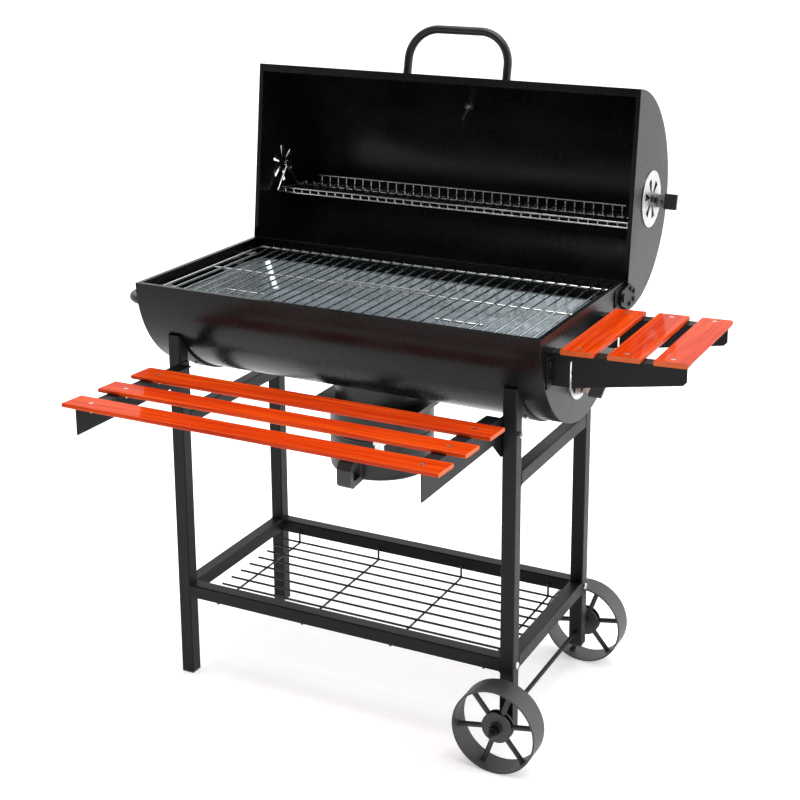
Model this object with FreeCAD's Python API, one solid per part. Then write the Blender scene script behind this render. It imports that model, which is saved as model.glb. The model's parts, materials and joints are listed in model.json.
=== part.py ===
import FreeCAD, Part
import math
import os

V = FreeCAD.Vector
X, Y, Z = V(1, 0, 0), V(0, 1, 0), V(0, 0, 1)

# Driving dimensions in mm. While the pieces are made, x runs along the barrel from its middle,
# -y is the side of the long shelf, and z = 0 is the ground. The whole assembly is moved at the
# end so that its origin is the middle of its footprint.

SHEET = 1.5
SCREW_TAIL = 7.0

# bowl
BOWL_R = 196.0
BOWL_AXIS_Z = 758.0
BOWL_RIM_Z = 754.0
BOWL_HALF = 385.0
RIM_LIP = 8.0

# lid, described closed and then swung open
LID_R = 197.5
LID_AXIS_Z = 753.8
LID_RIM_Z = 756.0
LID_HALF = 391.0
LID_LIP = 14.0
LID_OPEN = 96.5
HINGE_Y, HINGE_Z = 169.0, 730.0

# bent tube handles
TUBE_R = 8.0
HANDLE_HALF = 103.5
HANDLE_REACH = 98.0
HANDLE_BEND = 60.0
LID_HANDLE_ANGLE = 158.6
LID_HANDLE_TILT = 5.6
TRANSPORT_HALF = 110.0
TRANSPORT_REACH = 93.0
TRANSPORT_BEND = 45.0
TRANSPORT_Z = 692.5

# round air vents
VENT_R = 52.0
VENT_SLOTS = 6
LID_VENT_Y, LID_VENT_RISE = 3.0, 99.0
BOWL_VENT_Y, BOWL_VENT_Z = -21.0, 656.0
BOWL_SLOT_REACH = 45.0

# stand
LEG = 25.0
LEG_WALL = 1.5
LEG_X = 337.0
LEG_Y = 174.0
LEG_TOP = 659.0
RIGHT_LEG_FOOT = 52.0
LOW_RAIL_Z = 155.0
HIGH_RAIL_Z = 486.0
STRAP = 3.8

# wheels and axle
WHEEL_R = 75.0
WHEEL_IN, WHEEL_OUT = 185.0, 229.0
WHEEL_TURN = 10.0
AXLE_R = 4.0
AXLE_X = LEG_X - LEG / 2

# front shelf
FRONT_Z = 617.8
FRONT_PIVOT_Y = -220.0
FRONT_TILT = 2.42
FRONT_T = 7.0
FRONT_X = (-330.0, 344.0)
FRONT_SLATS = ((-236.5, -292.4), (-331.9, -381.3), (-422.1, -473.6))
FRONT_SCREW_X = (-291.0, 305.0)

# side shelf
SIDE_Z = 729.9
SIDE_TILT = 1.58
SIDE_T = 8.6
SIDE_Y = (-156.0, 100.5)
SIDE_SLATS = ((401.5, 458.0), (480.0, 535.0), (555.4, 609.4))
SIDE_SCREW_Y = (-138.0, 87.0)
SIDE_WEB_Y = (-150.0, 75.0)

# inside the bowl
GRATE_Z = 742.0
PAN_FLOOR = 677.0
PAN_TOP = 722.0

# ash catcher under the bowl
ASH_R = 94.0
ASH_NECK_R = 84.0
ASH_PLATE_HALF = 103.0
ASH_PLATE_Z = 545.0
ASH_SEAM_Z = 483.0
ASH_FLOOR_Z = 412.0


def box(x0, x1, y0, y1, z0, z1):
    return Part.makeBox(x1 - x0, y1 - y0, z1 - z0, V(x0, y0, z0))


def rod(p, q, r):
    p, q = V(*p), V(*q)
    return Part.makeCylinder(r, (q - p).Length, p, q - p)


def disc_x(x0, x1, y, z, r):
    return Part.makeCylinder(r, x1 - x0, V(x0, y, z), X)


def join(shapes):
    shapes = list(shapes)
    return shapes[0].multiFuse(shapes[1:]).removeSplitter()


def path_edges(points, radius, closed=False):
    """Straight lines through the points with every corner rounded to the radius."""
    points = [V(*p) for p in points]
    n = len(points)
    corners = range(n) if closed else range(1, n - 1)
    cut = {}
    for i in corners:
        b = points[i]
        u = (points[i - 1] - b).normalize()
        w = (points[(i + 1) % n] - b).normalize()
        half = u.getAngle(w) / 2
        back = radius / math.tan(half)
        mid = (u + w).normalize()
        cut[i] = (b + u * back, b + mid * (radius / math.sin(half) - radius), b + w * back)
    edges = []
    for i in range(n if closed else n - 1):
        j = (i + 1) % n
        start = cut[i][2] if i in cut else points[i]
        end = cut[j][0] if j in cut else points[j]
        if (end - start).Length > 1e-6:
            edges.append(Part.LineSegment(start, end).toShape())
        if j in cut:
            edges.append(Part.Arc(*cut[j]).toShape())
    return edges


def swept(points, radius, r):
    """Round bar of radius r along a path with rounded corners."""
    path = Part.Wire(path_edges(points, radius))
    first, second = V(*points[0]), V(*points[1])
    ring = Part.Wire([Part.makeCircle(r, first, second - first)])
    return path.makePipeShell([ring], True, False)


def plate(points, radius, direction):
    """Flat plate: a rounded polygon pushed out along a direction."""
    wire = Part.Wire(path_edges(points, radius, closed=True))
    return Part.Face(wire).extrude(direction)


def plate_x(outline, radius, x0, x1):
    return plate([(x0, y, z) for y, z in outline], radius, V(x1 - x0, 0, 0))


def plate_y(outline, radius, y0, y1):
    return plate([(x, y0, z) for x, z in outline], radius, V(0, y1 - y0, 0))


def mirror_x(shape):
    return shape.mirror(V(0, 0, 0), X)


def hex_x(x0, x1, y, z, flats):
    r = flats / math.sqrt(3)
    pts = [V(x0, y + r * math.cos(k * math.pi / 3), z + r * math.sin(k * math.pi / 3)) for k in range(7)]
    return Part.Face(Part.makePolygon(pts)).extrude(V(x1 - x0, 0, 0))


def dome(base, direction, r, h):
    """Low rounded bolt head standing on its base point."""
    base, direction = V(*base), V(*direction)
    head = Part.makeCylinder(r, h, base, direction)
    top = [e for e in head.Edges if len(e.Vertexes) == 1 and abs((e.CenterOfMass - base).dot(direction) - h) < 0.01]
    return head.makeFillet(h * 0.6, top)


def rounded_bar(low, high, along, corner):
    """Rectangular bar whose four long edges are rounded."""
    k = "xyz".index(along)
    i, j = [n for n in range(3) if n != k]
    points = []
    for a, b in ((low[i], low[j]), (high[i], low[j]), (high[i], high[j]), (low[i], high[j])):
        point = list(low)
        point[i] = a
        point[j] = b
        points.append(tuple(point))
    push = [0, 0, 0]
    push[k] = high[k] - low[k]
    return plate(points, corner, V(*push))


def square_tube(low, high, along):
    inset = [-1 if axis == along else LEG_WALL for axis in "xyz"]
    hollow = rounded_bar([a + d for a, d in zip(low, inset)], [a - d for a, d in zip(high, inset)], along, 1.0)
    return rounded_bar(low, high, along, 2.5).cut(hollow)


def slot_cutters(x0, x1, y, z, first, reach=38):
    """Six wedge openings around a vent centre."""
    cutters = []
    for k in range(VENT_SLOTS):
        a = math.radians(first + 360.0 / VENT_SLOTS * k)
        outline = []
        for r, spread in ((12, -13), (reach, -12), (reach, 12), (12, 13)):
            t = a + math.radians(spread)
            outline.append((y + r * math.cos(t), z + r * math.sin(t)))
        cutters.append(plate_x(outline, 2.0, x0, x1))
    return cutters


# ---------------------------------------------------------------- bowl

def bowl_shell():
    half = BOWL_HALF - SHEET
    outer = disc_x(-half, half, 0, BOWL_AXIS_Z, BOWL_R)
    inner = disc_x(-half - 1, half + 1, 0, BOWL_AXIS_Z, BOWL_R - SHEET)
    above = box(-half - 1, half + 1, -BOWL_R - 5, BOWL_R + 5, BOWL_RIM_Z, BOWL_AXIS_Z + BOWL_R + 5)
    shell = outer.cut(inner).cut(above)
    edge = BOWL_R - 0.3
    lips = [box(-half, half, s0, s1, BOWL_RIM_Z - SHEET, BOWL_RIM_Z)
            for s0, s1 in ((-edge, -edge + RIM_LIP), (edge - RIM_LIP, edge))]
    ash_hole = Part.makeCylinder(80, 60, V(0, 0, BOWL_AXIS_Z - BOWL_R - 10), Z)
    return join([shell] + lips).cut(ash_hole)


def bowl_end_blank():
    """Right end plate of the bowl before its vent is cut."""
    x1 = BOWL_HALF
    x0 = x1 - SHEET
    cap = disc_x(x0, x1, 0, BOWL_AXIS_Z, BOWL_R)
    cap = cap.cut(box(x0 - 1, x1 + 1, -300, 300, BOWL_RIM_Z, BOWL_AXIS_Z + 300))
    reach = BOWL_R - RIM_LIP - 0.6
    lip = box(x0 - RIM_LIP + SHEET, x1, -reach, reach, BOWL_RIM_Z - SHEET, BOWL_RIM_Z)
    return join([cap, lip])


def bowl_end_right():
    cap = bowl_end_blank()
    x0, x1 = BOWL_HALF - 5, BOWL_HALF + 2
    cap = cap.cut(Part.makeCompound(slot_cutters(x0, x1, BOWL_VENT_Y, BOWL_VENT_Z, 90, BOWL_SLOT_REACH)))
    return cap.cut(disc_x(x0, x1, BOWL_VENT_Y, BOWL_VENT_Z, 3.0))


def bowl_end_left():
    return mirror_x(bowl_end_blank())


def bowl_hinges():
    outline = ((143, 715), (184, 715), (184, 748), (143, 748))
    leaf = plate_x(outline, 5, BOWL_HALF, BOWL_HALF + 2)
    leaf = leaf.cut(disc_x(380, 395, HINGE_Y, HINGE_Z, 5.0))
    rivets = [dome((BOWL_HALF + 2, y, z), (1, 0, 0), 4, 1.6) for y, z in ((150, 742), (150, 721))]
    right = join([leaf] + rivets)
    return Part.makeCompound([right, mirror_x(right)])


def hinge_pins():
    x = BOWL_HALF
    pin = join([
        disc_x(x - 5, LID_HALF + 5.5, HINGE_Y, HINGE_Z, 5.0),
        disc_x(x - 5, x - SHEET, HINGE_Y, HINGE_Z, 9.0),
        disc_x(x + 2, LID_HALF - 0.3, HINGE_Y, HINGE_Z, 8.0),
        disc_x(LID_HALF + 2.4, LID_HALF + 5.5, HINGE_Y, HINGE_Z, 8.0),
    ])
    return Part.makeCompound([pin, mirror_x(pin)])


# ---------------------------------------------------------------- stand

def leg(sx, sy):
    """Square tube leg whose top is cut to the curve of the saddle strap."""
    foot = 3.0 if sx < 0 else RIGHT_LEG_FOOT
    xs = sorted((sx * LEG_X, sx * (LEG_X - LEG)))
    ys = sorted((sy * LEG_Y, sy * (LEG_Y - LEG)))
    tube = square_tube((xs[0], ys[0], foot), (xs[1], ys[1], LEG_TOP), "z")
    tube = tube.cut(disc_x(xs[0] - 1, xs[1] + 1, 0, BOWL_AXIS_Z, BOWL_R + STRAP))
    bores = [rod((sx * 400, sy * (LEG_Y - LEG / 2), LOW_RAIL_Z + LEG / 2),
                 (sx * 300, sy * (LEG_Y - LEG / 2), LOW_RAIL_Z + LEG / 2), 3.0)]
    if sx > 0:
        bores.append(rod((AXLE_X, sy * 100, WHEEL_R), (AXLE_X, sy * 250, WHEEL_R), AXLE_R))
    if sy < 0:
        bores.append(rod((sx * 400, -163, 579), (sx * 300, -163, 579), 3.0))
    return tube.cut(Part.makeCompound(bores))


def leg_plugs():
    plugs = []
    for sx in (-1, 1):
        for sy in (-1, 1):
            x, y = sx * (LEG_X - LEG / 2), sy * (LEG_Y - LEG / 2)
            low = 0.0 if sx < 0 else RIGHT_LEG_FOOT - 3.0
            h = LEG / 2
            flange = rounded_bar((x - h, y - h, low), (x + h, y + h, low + 3), "z", 2.5)
            h -= LEG_WALL
            plugs.append(join([flange, rounded_bar((x - h, y - h, low + 3), (x + h, y + h, low + 15), "z", 1.0)]))
    return Part.makeCompound(plugs)


def long_rail(sy):
    ys = sorted((sy * LEG_Y, sy * (LEG_Y - LEG)))
    x = LEG_X - LEG
    rail = square_tube((-x, ys[0], LOW_RAIL_Z), (x, ys[1], LOW_RAIL_Z + LEG), "x")
    inner = sy * (LEG_Y - LEG)
    holes = [rod((hx, inner - 3, SHELF_PLUG_Z), (hx, inner + 3, SHELF_PLUG_Z), WIRE_R) for hx in WIRE_X]
    return rail.cut(Part.makeCompound(holes))


def side_rail(sx, z):
    xs = sorted((sx * LEG_X, sx * (LEG_X - LEG)))
    y = LEG_Y - LEG
    return square_tube((xs[0], -y, z), (xs[1], y, z + LEG), "y")


def saddle(sx):
    xs = sorted((sx * LEG_X, sx * (LEG_X - LEG + 1)))
    outer = disc_x(xs[0], xs[1], 0, BOWL_AXIS_Z, BOWL_R + STRAP)
    inner = disc_x(xs[0] - 1, xs[1] + 1, 0, BOWL_AXIS_Z, BOWL_R)
    strap = outer.cut(inner).cut(box(xs[0] - 1, xs[1] + 1, -300, 300, LEG_TOP, 1100))
    return strap


WIRE_R = 2.0
WIRE_X = (-270.0, -90.0, 90.0, 270.0)
SHELF_PLUG_Z = 165.0
SHELF_WIRE_Z = 138.0
SHELF_WIRE_Y = [31.6 * (k - 4.5) for k in range(10)]


def shelf_hangers():
    """Wires bent down from the long rails to carry the straight shelf wires."""
    face = LEG_Y - LEG
    drop = face - 2.3
    z0, z1 = SHELF_WIRE_Z, SHELF_PLUG_Z
    wires = []
    for x in WIRE_X:
        profile = [(x, -face - 1, z1), (x, -drop, z1), (x, -drop, z0), (x, drop, z0), (x, drop, z1), (x, face + 1, z1)]
        wires.append(swept(profile, 2.6, WIRE_R))
    return Part.makeCompound(wires)


def shelf_wires():
    z = SHELF_WIRE_Z + 2 * WIRE_R
    return Part.makeCompound([rod((-305, y, z), (305, y, z), WIRE_R) for y in SHELF_WIRE_Y])


def frame_bolts():
    parts = []
    for sx in (-1, 1):
        out = sx * LEG_X
        d = (sx, 0, 0)
        for sy in (-1, 1):
            y = sy * (LEG_Y - LEG / 2)
            z = LOW_RAIL_Z + LEG / 2
            shank = rod((out, y, z), (sx * (LEG_X - LEG + 3), y, z), 3.0)
            parts.append(join([dome((out, y, z), d, 6.0, 3.5), shank]))
        x_in = sx * (LEG_X - LEG - 2)
        shank = rod((out + sx * 7, -163, 579), (x_in, -163, 579), 3.0)
        nut = hex_x(*sorted((out, out + sx * 5)), -163, 579, 10)
        parts.append(join([shank, nut, dome((x_in, -163, 579), (-sx, 0, 0), 6.0, 3.0)]))
        for a in (-58, -122):
            c, s = math.cos(math.radians(a)), math.sin(math.radians(a))
            x = sx * (LEG_X - LEG / 2)
            r0, r1 = BOWL_R - SHEET, BOWL_R + STRAP
            p = (x, r0 * c, BOWL_AXIS_Z + r0 * s)
            q = (x, r1 * c, BOWL_AXIS_Z + r1 * s)
            parts.append(join([rod(p, q, 3.0), dome(q, (0, c, s), 6.0, 4.0), dome(p, (0, -c, -s), 6.0, 3.0)]))
    pin = join([disc_x(BOWL_HALF - 6, BOWL_HALF + 4.6, BOWL_VENT_Y, BOWL_VENT_Z, 3.0),
                disc_x(BOWL_HALF - 6, BOWL_HALF - SHEET, BOWL_VENT_Y, BOWL_VENT_Z, 7.0),
                dome((BOWL_HALF + 2.1, BOWL_VENT_Y, BOWL_VENT_Z), (1, 0, 0), 7.0, 3.0)])
    parts.append(pin)
    return Part.makeCompound(parts)


# ---------------------------------------------------------------- wheels

def axle():
    return rod((AXLE_X, -WHEEL_OUT - 10, WHEEL_R), (AXLE_X, WHEEL_OUT + 10, WHEEL_R), AXLE_R)


def axle_fittings():
    parts = []
    for sy in (-1, 1):
        p = (AXLE_X, sy * LEG_Y, WHEEL_R)
        sleeve = rod(p, (AXLE_X, sy * (WHEEL_IN - 0.6), WHEEL_R), 9.0)
        washer = rod((AXLE_X, sy * (WHEEL_OUT - 9.4), WHEEL_R), (AXLE_X, sy * (WHEEL_OUT - 8), WHEEL_R), 10.0)
        nut = Part.makeCylinder(7.5, 7, V(AXLE_X, sy * (WHEEL_OUT - 8), WHEEL_R), V(0, sy, 0))
        bore = rod((AXLE_X, sy * 100, WHEEL_R), (AXLE_X, sy * 300, WHEEL_R), AXLE_R)
        parts += [sleeve.cut(bore), join([washer, nut]).cut(bore)]
    return Part.makeCompound(parts)


def wheel(sy):
    """Steel band wheel with six round spokes and a flat hub disc."""
    mid = sy * (WHEEL_IN + WHEEL_OUT) / 2

    def ring(y0, y1, r0, r1):
        y0, y1 = sorted((y0, y1))
        solid = Part.makeCylinder(r1, y1 - y0, V(AXLE_X, y0, WHEEL_R), Y)
        return solid.cut(Part.makeCylinder(r0, y1 - y0 + 2, V(AXLE_X, y0 - 1, WHEEL_R), Y))

    bore = AXLE_R + 0.3
    band = ring(sy * WHEEL_IN, sy * WHEEL_OUT, WHEEL_R - 3, WHEEL_R)
    tube = ring(sy * (WHEEL_IN), sy * (WHEEL_OUT - 10), bore, 11)
    plate_out = ring(mid + sy * 4.5, mid + sy * 7, bore, 27)
    plate_in = ring(mid - sy * 7, mid - sy * 4.5, bore, 27)
    core = ring(mid - sy * 4.5, mid + sy * 4.5, bore, 15)
    parts = [band, tube, plate_out, plate_in, core]
    for k in range(6):
        a = math.radians(60 * k + WHEEL_TURN)
        c, s = math.cos(a), math.sin(a)
        p = (AXLE_X + 13 * c, mid, WHEEL_R + 13 * s)
        q = (AXLE_X + (WHEEL_R - 2) * c, mid, WHEEL_R + (WHEEL_R - 2) * s)
        parts.append(rod(p, q, 4.5))
    return join(parts)


# ---------------------------------------------------------------- shelves

def front_tilt(shape):
    return shape.rotated(V(0, FRONT_PIVOT_Y, FRONT_Z), X, -FRONT_TILT)


def front_under(y):
    """Height of the underside of the front slats."""
    drop = FRONT_T / math.cos(math.radians(FRONT_TILT))
    return FRONT_Z - drop + math.tan(math.radians(FRONT_TILT)) * (FRONT_PIVOT_Y - y)


def rounded_board(x0, x1, y0, y1, z1, t, along):
    board = box(x0, x1, y0, y1, z1 - t, z1)
    ends = (x0, x1) if along == "x" else (y0, y1)
    edges = []
    for e in board.Edges:
        d = e.Vertexes[1].Point - e.Vertexes[0].Point
        length = abs(d.x) if along == "x" else abs(d.y)
        if length > 0.9 * (ends[1] - ends[0]):
            edges.append(e)
    return board.makeFillet(2.4, edges)


def screw_hole(x, y, z, t):
    sink = Part.makeCone(1.8, 5.0, 3.2, V(x, y, z - 3.2), Z)
    return join([sink, Part.makeCylinder(1.8, t + 6, V(x, y, z - t - 3), Z)])


def screw(x, y, z, t):
    """Countersunk screw whose tail stands out below the bracket."""
    head = Part.makeCone(1.8, 4.4, 2.6, V(x, y, z - 3.2), Z)
    low = z - t - 3.0 - SCREW_TAIL
    return join([head, Part.makeCylinder(1.8, t + SCREW_TAIL, V(x, y, low), Z)])


def front_slat(k):
    y1, y0 = FRONT_SLATS[k]
    mid = (y0 + y1) / 2
    slat = rounded_board(FRONT_X[0], FRONT_X[1], y0, y1, FRONT_Z, FRONT_T, "x")
    for x in FRONT_SCREW_X:
        slat = slat.cut(screw_hole(x, mid, FRONT_Z, FRONT_T))
    return front_tilt(slat)


def front_bracket(sx):
    """Sheet bracket inside a front leg, with its gusset and a flange under the slats."""
    xi = LEG_X - LEG
    tip, heel = -462.0, -(LEG_Y - LEG + 1)
    outline = ((heel, front_under(heel)), (tip, front_under(tip)), (tip, 573), (-209, 572), (-176, 541), (heel, 541))
    web = plate_x(outline, 1.5, xi - 2, xi)
    web = web.cut(rod((xi - 5, -163, 579), (xi + 5, -163, 579), 3.0))
    flange = front_tilt(box(xi - 26, xi, tip + 1, -LEG_Y - 3, FRONT_Z - FRONT_T - 2, FRONT_Z - FRONT_T))
    bracket = join([web, flange])
    screws = []
    for y1, y0 in FRONT_SLATS:
        for x in FRONT_SCREW_X:
            screws.append(front_tilt(screw(x, (y0 + y1) / 2, FRONT_Z, FRONT_T)))
    if sx < 0:
        bracket = mirror_x(bracket)
    return bracket.cut(Part.makeCompound(screws))


def side_tilt(shape):
    return shape.rotated(V(BOWL_HALF, 0, SIDE_Z), Y, -SIDE_TILT)


def side_under(x):
    """Height of the underside of the side slats."""
    drop = SIDE_T / math.cos(math.radians(SIDE_TILT))
    return SIDE_Z - drop + math.tan(math.radians(SIDE_TILT)) * (x - BOWL_HALF)


def side_slat(k):
    x0, x1 = SIDE_SLATS[k]
    slat = rounded_board(x0, x1, SIDE_Y[0], SIDE_Y[1], SIDE_Z, SIDE_T, "y")
    for y in SIDE_SCREW_Y:
        slat = slat.cut(screw_hole((x0 + x1) / 2, y, SIDE_Z, SIDE_T))
    return side_tilt(slat)


def side_bracket(k):
    """Sheet bracket on the right end plate: upright web, flange under the slats, wall flange."""
    y = SIDE_WEB_Y[k]
    x0, x1 = BOWL_HALF, 608.0
    outline = ((x0, side_under(x0)), (x1, side_under(x1)), (x1, 704), (602, 698), (421, 667), (x0, 667))
    web = plate_y(outline, 1.5, y, y + 2)
    web = web.cut(box(417, 420, y - 1, y + 3, 650, 711))
    flange = side_tilt(box(x0 + 1, x1 - 1, y, y + 26, SIDE_Z - SIDE_T - 2, SIDE_Z - SIDE_T))
    wall = plate_x(((y - 20, 664), (y + 2, 664), (y + 2, 716), (y - 20, 716)), 2, x0, x0 + 2)
    heads = [dome((x0 + 2, y - 9, z), (1, 0, 0), 5.0, 3.0) for z in (676, 704)]
    bracket = join([web, flange, wall] + heads)
    screws = []
    for xa, xb in SIDE_SLATS:
        screws.append(side_tilt(screw((xa + xb) / 2, SIDE_SCREW_Y[k], SIDE_Z, SIDE_T)))
    return bracket.cut(Part.makeCompound(screws))


def shelf_screws():
    screws = []
    for y1, y0 in FRONT_SLATS:
        for x in FRONT_SCREW_X:
            screws.append(front_tilt(screw(x, (y0 + y1) / 2, FRONT_Z, FRONT_T)))
    for xa, xb in SIDE_SLATS:
        for y in SIDE_SCREW_Y:
            screws.append(side_tilt(screw((xa + xb) / 2, y, SIDE_Z, SIDE_T)))
    return Part.makeCompound(screws)


# ---------------------------------------------------------------- inside the bowl

def cooking_grate():
    """Wire grate: close rods front to back on three long bars, with short bars and a lifting wire."""
    z, r, bar = GRATE_Z, 1.6, 2.5
    low = z - r - bar
    wires = []
    for k in range(33):
        x = -354 + 708.0 / 32 * k
        wires.append(rod((x, -186, z), (x, 186, z), r))
    for x in (-363, 363):
        wires.append(rod((x, -184, low), (x, 180, low), bar))
    for y in (-181, 6, 177):
        wires.append(rod((-363 + bar, y, low), (363 - bar, y, low), bar))
    for x0, x1 in ((-249, -170), (163, 250)):
        wires.append(rod((x0, -115, low), (x1, -115, low), bar))
    wires.append(rod((-97, 6, z + 2 * r), (90, 6, z + 2 * r), r))
    return Part.makeCompound(wires)


def tray(x_low, y_low, z_low, x_top, y_top, z_top, corner):
    def ring(hx, hy, z):
        return Part.Wire(path_edges([(-hx, -hy, z), (hx, -hy, z), (hx, hy, z), (-hx, hy, z)], corner, closed=True))
    return Part.makeLoft([ring(x_low, y_low, z_low), ring(x_top, y_top, z_top)], True, True)


def charcoal_pan():
    t = SHEET
    outer = tray(296, 115, PAN_FLOOR, 338, 152, PAN_TOP, 14)
    inner = tray(296 - t, 115 - t, PAN_FLOOR + t, 338 - t, 152 - t, PAN_TOP + 0.01, 13)
    top = PAN_TOP
    rim_outer = plate([(-346, -160, top - t), (346, -160, top - t), (346, 160, top - t), (-346, 160, top - t)], 16, V(0, 0, t))
    hole = plate([(-336, -150, top - 5), (336, -150, top - 5), (336, 150, top - 5), (-336, 150, top - 5)], 12, V(0, 0, 8))
    return join([outer, rim_outer.cut(hole)]).cut(inner)


def inner_supports():
    """Angle tabs on the end plates: four under the grate and four under the pan rim."""
    tabs = []
    face = BOWL_HALF - SHEET
    grate_top = GRATE_Z - 1.6 - 5.0
    for sy in (-1, 1):
        ys = sorted((sy * 125, sy * 145))
        tabs.append(join([box(352, face, ys[0], ys[1], grate_top - 2, grate_top),
                          box(face - 2, face, ys[0], ys[1], grate_top - 16, grate_top)]))
        ys = sorted((sy * 100, sy * 122))
        top = PAN_TOP - SHEET
        tabs.append(join([box(341, face, ys[0], ys[1], top - 2, top),
                          box(face - 2, face, ys[0], ys[1], top - 26, top)]))
    return Part.makeCompound(tabs + [mirror_x(t) for t in tabs])


# ---------------------------------------------------------------- handles

def bent_handle(half, reach, bend):
    """U of tube standing on the plane z = 0 with its feet at x = -half and +half."""
    points = [(-half, 0, -12), (-half, 0, reach), (half, 0, reach), (half, 0, -12)]
    return swept(points, bend, TUBE_R).cut(swept(points, bend, TUBE_R - 1.5))


def transport_handle():
    x = -BOWL_HALF
    tube = bent_handle(TRANSPORT_HALF, TRANSPORT_REACH, TRANSPORT_BEND)
    tube = tube.rotated(V(0, 0, 0), Z, 90).rotated(V(0, 0, 0), Y, -90).translated(V(x, 0, TRANSPORT_Z))
    tube = tube.cut(box(x, x + 60, -200, 200, TRANSPORT_Z - 50, TRANSPORT_Z + 50))
    feet = []
    for y in (-TRANSPORT_HALF, TRANSPORT_HALF):
        foot = disc_x(x - 3, x, y, TRANSPORT_Z, 15).cut(disc_x(x - 4, x + 1, y, TRANSPORT_Z, TUBE_R - 1.5))
        feet.append(foot)
    return join([tube] + feet)


def lid_handle_closed():
    a = math.radians(LID_HANDLE_ANGLE)
    y, z = LID_R * math.cos(a), LID_AXIS_Z + LID_R * math.sin(a)
    turn = 90 - LID_HANDLE_TILT
    tube = bent_handle(HANDLE_HALF, HANDLE_REACH, HANDLE_BEND).rotated(V(0, 0, 0), X, turn).translated(V(0, y, z))
    feet = [Part.makeCylinder(14, 20, V(x, 0, -14), Z) for x in (-HANDLE_HALF, HANDLE_HALF)]
    bores = [Part.makeCylinder(TUBE_R - 1.5, 60, V(x, 0, -30), Z) for x in (-HANDLE_HALF, HANDLE_HALF)]
    feet = [f.rotated(V(0, 0, 0), X, turn).translated(V(0, y, z)) for f in feet]
    bores = [b.rotated(V(0, 0, 0), X, turn).translated(V(0, y, z)) for b in bores]
    skin = disc_x(-200, 200, 0, LID_AXIS_Z, LID_R)
    skirt = disc_x(-200, 200, 0, LID_AXIS_Z, LID_R + 3)
    flanges = [f.common(skirt).cut(b) for f, b in zip(feet, bores)]
    return join([tube] + flanges).cut(skin)


# ---------------------------------------------------------------- lid

def opened(shape):
    return shape.rotated(V(0, HINGE_Y, HINGE_Z), X, -LID_OPEN)


def around_lid(shape, angle):
    """Move a shape made at the -y side of the lid axis, pointing to -y, to another angle."""
    return shape.rotated(V(0, 0, LID_AXIS_Z), X, angle - 180)


def lid_shell():
    half = LID_HALF - SHEET
    outer = disc_x(-half, half, 0, LID_AXIS_Z, LID_R)
    inner = disc_x(-half - 1, half + 1, 0, LID_AXIS_Z, LID_R - SHEET)
    below = box(-half - 1, half + 1, -300, 300, LID_AXIS_Z - 300, LID_RIM_Z)
    edge = LID_R - 0.3
    lip = box(-half, half, -edge, -edge + LID_LIP, LID_RIM_Z, LID_RIM_Z + SHEET)
    return opened(join([outer.cut(inner).cut(below), lip]))


def lid_end_closed():
    x1 = LID_HALF
    x0 = x1 - SHEET
    cap = disc_x(x0, x1, 0, LID_AXIS_Z, LID_R).cut(box(x0 - 1, x1 + 1, -300, 300, 400, LID_RIM_Z))
    lip = box(x1 - 8, x1, -LID_R + LID_LIP + 0.6, 125, LID_RIM_Z, LID_RIM_Z + SHEET)
    cap = join([cap, lip])
    y, z = LID_VENT_Y, LID_AXIS_Z + LID_VENT_RISE
    cap = cap.cut(Part.makeCompound(slot_cutters(x0 - 1, x1 + 1, y, z, 90 + LID_OPEN)))
    return cap.cut(disc_x(x0 - 1, x1 + 1, y, z, 3.0))


LID_HINGE_BOLTS = ((156, 766), (163, 784), (178, 786), (184, 766))


def lid_hinges():
    outline = ((157, 720), (181, 720), (194, 762), (185, 795), (160, 794), (147, 764))
    leaf = plate_x(outline, 6, LID_HALF, LID_HALF + 2)
    leaf = leaf.cut(disc_x(385, 400, HINGE_Y, HINGE_Z, 5.35))
    leaf = leaf.cut(Part.makeCompound([disc_x(385, 400, y, z, 2.5) for y, z in LID_HINGE_BOLTS]))
    leaf = opened(leaf)
    return Part.makeCompound([leaf, mirror_x(leaf)])


def lid_bolts():
    parts = []
    x0, x1 = LID_HALF - SHEET, LID_HALF + 2
    for y, z in LID_HINGE_BOLTS:
        bolt = join([disc_x(x0, x1, y, z, 2.5), dome((x1, y, z), (1, 0, 0), 4.5, 2.8),
                     dome((x0, y, z), (-1, 0, 0), 4.5, 2.8)])
        parts += [bolt, mirror_x(bolt)]
    r0 = LID_R - SHEET
    for x in (-HANDLE_HALF, HANDLE_HALF):
        head = dome((x, -r0, LID_AXIS_Z), (0, 1, 0), 7.0, 3.5)
        parts.append(around_lid(head, LID_HANDLE_ANGLE))
    for x in (-NAME_RIVET_X, NAME_RIVET_X):
        r1 = LID_R + 1.2
        rivet = join([rod((x, -r0, LID_AXIS_Z), (x, -r1, LID_AXIS_Z), 1.6),
                      dome((x, -r0, LID_AXIS_Z), (0, 1, 0), 3.2, 1.8),
                      dome((x, -r1, LID_AXIS_Z), (0, -1, 0), 3.2, 1.5)])
        parts.append(around_lid(rivet, NAME_ANGLE))
    return Part.makeCompound([opened(p) for p in parts])


NAME_RIVET_X = 30.5
NAME_ANGLE = 149.5
GAUGE_ANGLE = 134.6


def nameplate():
    half = 44.0
    ring = disc_x(-half, half, 0, LID_AXIS_Z, LID_R + 1.2).cut(disc_x(-half - 1, half + 1, 0, LID_AXIS_Z, LID_R))
    block = box(-half, half, -LID_R - 20, -LID_R + 20, LID_AXIS_Z - 19, LID_AXIS_Z + 19)
    edges = [e for e in block.Edges if abs(e.Vertexes[1].Y - e.Vertexes[0].Y) > 30]
    plate_ = ring.common(block.makeFillet(8, edges))
    for x in (-NAME_RIVET_X, NAME_RIVET_X):
        plate_ = plate_.cut(rod((x, -300, LID_AXIS_Z), (x, -100, LID_AXIS_Z), 1.6))
    return opened(around_lid(plate_, NAME_ANGLE))


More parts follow.
